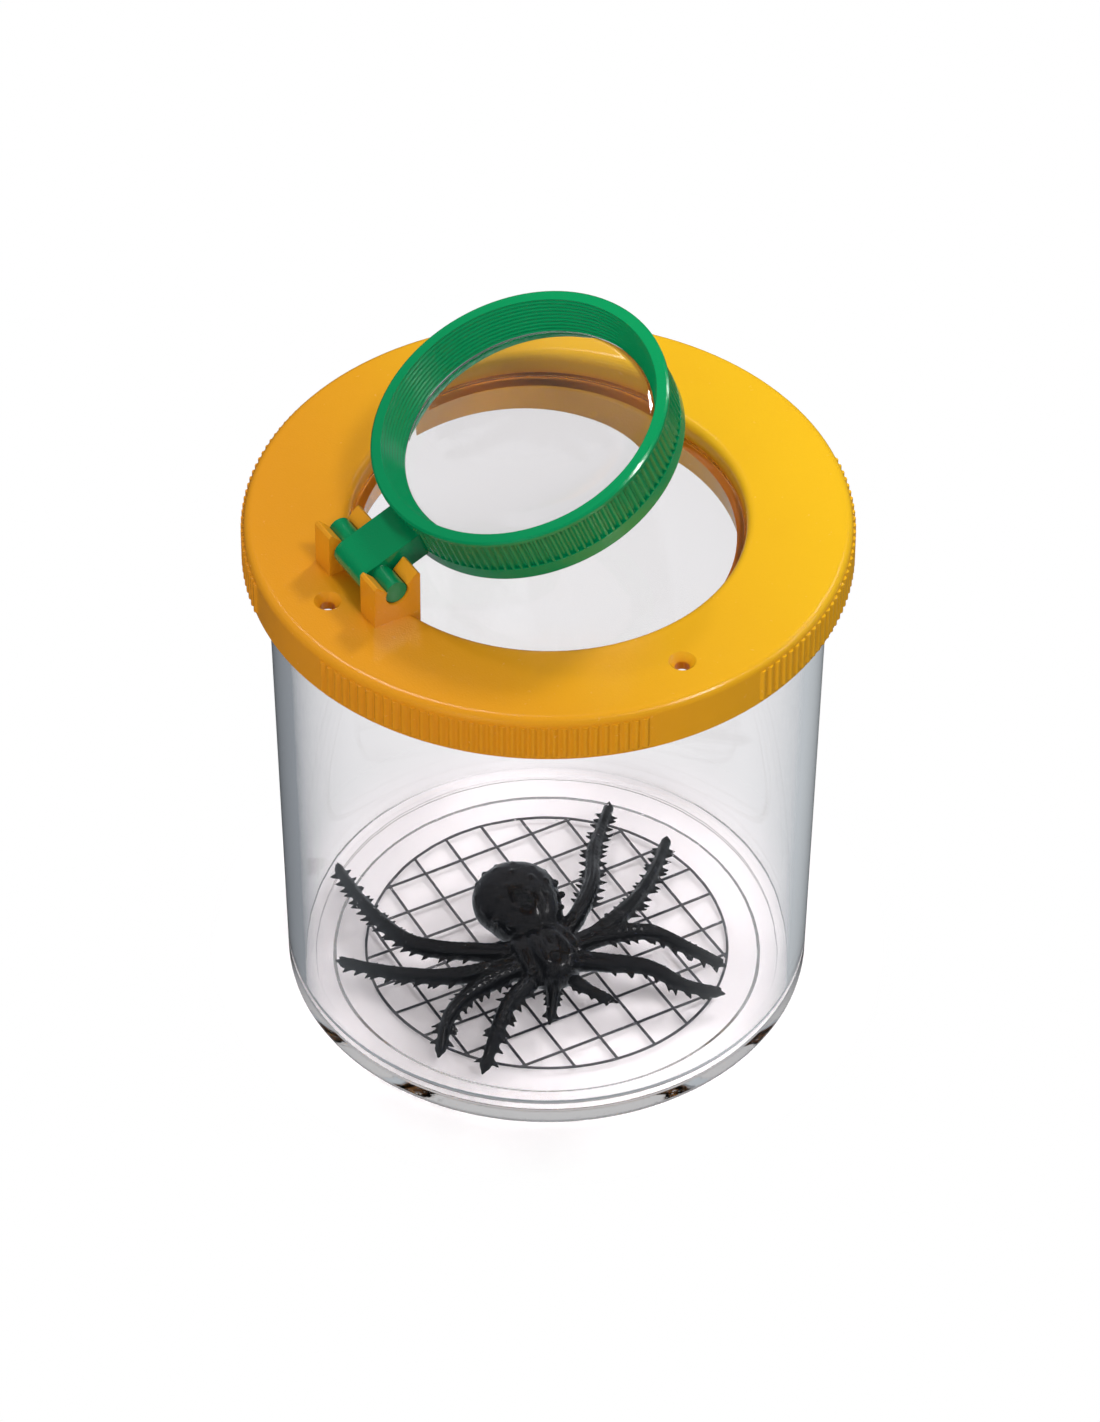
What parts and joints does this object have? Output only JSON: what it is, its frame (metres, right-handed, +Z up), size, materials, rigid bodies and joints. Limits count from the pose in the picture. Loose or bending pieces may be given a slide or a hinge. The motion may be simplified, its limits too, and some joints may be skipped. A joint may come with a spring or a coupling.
{
  "type": "bug catcher jar",
  "caption": "Clear collecting jar with a floor measuring grid, a push-on lid with a large lens, a hinged second lens and a loose toy spider.",
  "frame": {"origin": "on the jar's axis at the height of the surface it stands on", "axes": "+Z up along the jar's axis; the flip-up lens is hinged on the -X side, its pin lies along Y"},
  "size_m": [0.0704, 0.0704, 0.092],
  "materials": {
    "clear_plastic": "clear gloss",
    "grid_ink": "printed",
    "yellow_plastic": "satin gloss",
    "lens_plastic": "polished clear",
    "green_plastic": "satin gloss",
    "spider_rubber": "glossy soft rubber"
  },
  "bodies": {
    "jar": {"jar": "clear_plastic", "measuring_grid": "grid_ink"},
    "lid": {"lid_ring": "yellow_plastic", "lid_lens": "lens_plastic"},
    "flip_up_lens": {"lens_frame": "green_plastic", "flip_lens": "lens_plastic"},
    "spider": {"spider": "spider_rubber"}
  },
  "joints": [
    {"name": "lid_lift", "type": "slide", "parent": "jar", "child": "lid", "axis": [0, 0, 1], "range_m": [0, 0.09]},
    {"name": "lens_flip", "type": "hinge", "parent": "lid", "child": "flip_up_lens", "pos_m": [-0.024, 0, 0.0728], "axis": [0, -1, 0], "range_deg": [-21.3, 123.7]},
    {"name": "spider_lift", "type": "slide", "parent": "jar", "child": "spider", "axis": [0, 0, 1], "range_m": [0, 0.045]}
  ]
}
